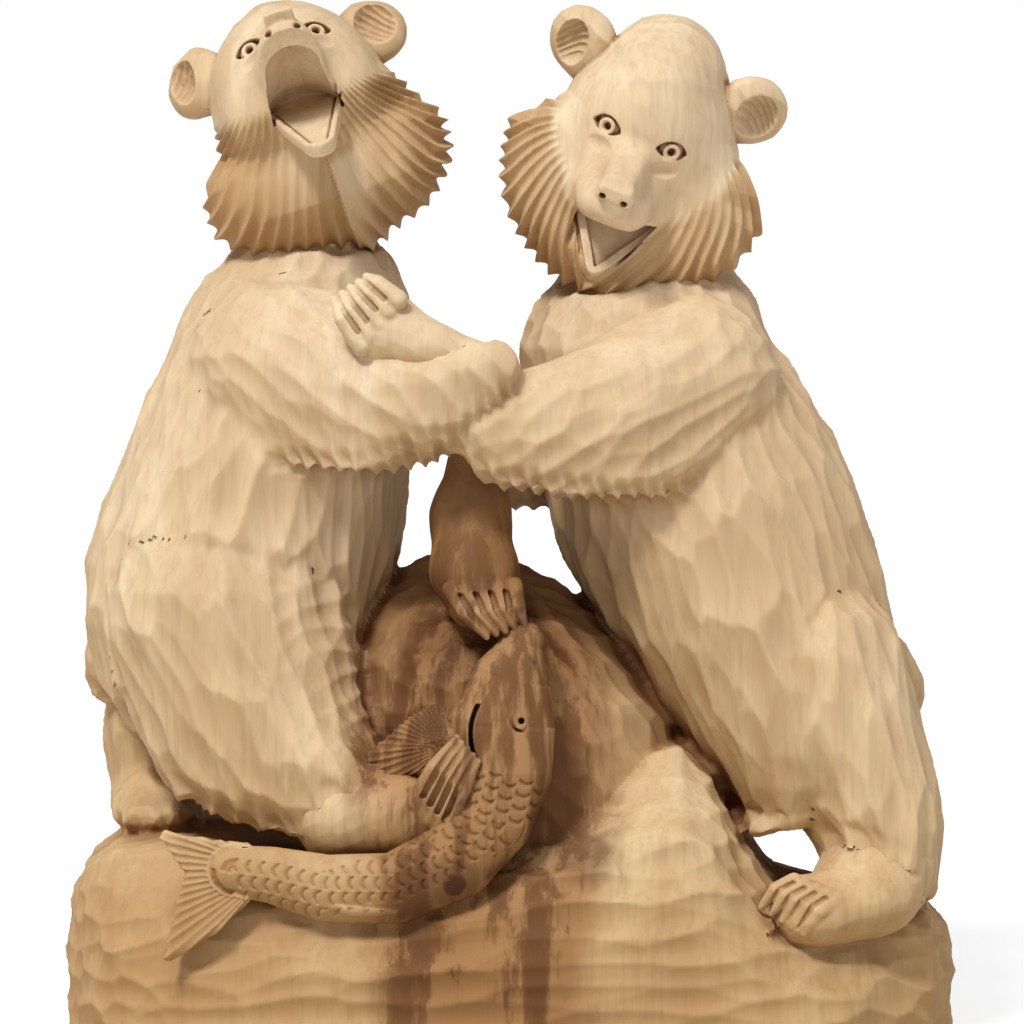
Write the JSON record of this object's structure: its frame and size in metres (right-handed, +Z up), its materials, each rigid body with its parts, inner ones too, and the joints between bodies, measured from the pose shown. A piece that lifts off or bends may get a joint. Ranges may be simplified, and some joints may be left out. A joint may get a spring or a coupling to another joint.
{
  "type": "carved wooden bear figurine",
  "caption": "Hand-carved wooden sculpture of laughing bears grappling on their hind legs over a fish and a boulder, on a flat-bottomed carved base.",
  "frame": {"origin": "middle of the flat underside of the base", "axes": "+Z up, +X to the viewer's right, -Y towards the viewer and the bears' faces"},
  "size_m": [0.432, 0.224, 0.5039],
  "materials": {
    "lime_pale": "satin, hand-cut gouge facets, light clear wax",
    "lime_heart": "satin, brown heart stain in pale lime wood"
  },
  "bodies": {
    "root": {"base": "lime_pale", "boulder": "lime_heart", "fish_body": "lime_heart", "fish_tail_fin": "lime_pale", "fish_pectoral_fin": "lime_heart", "fish_anal_fin": "lime_pale", "left_bear_torso": "lime_pale", "left_bear_head": "lime_pale", "left_bear_jaw": "lime_pale", "left_bear_ear_left": "lime_pale", "left_bear_ear_right": "lime_pale", "left_bear_front_arm": "lime_pale", "left_bear_back_arm": "lime_pale", "left_bear_front_leg": "lime_pale", "left_bear_front_foot": "lime_pale", "left_bear_back_leg": "lime_pale", "left_bear_tail": "lime_pale", "right_bear_torso": "lime_pale", "right_bear_head": "lime_pale", "right_bear_jaw": "lime_pale", "right_bear_ear_left": "lime_pale", "right_bear_ear_right": "lime_pale", "right_bear_front_arm": "lime_pale", "right_bear_chest_paw": "lime_pale", "right_bear_back_arm": "lime_pale", "right_bear_rock_paw": "lime_heart", "right_bear_front_leg": "lime_pale", "right_bear_front_foot": "lime_pale", "right_bear_back_leg": "lime_pale", "right_bear_tail": "lime_pale"}
  },
  "joints": []
}
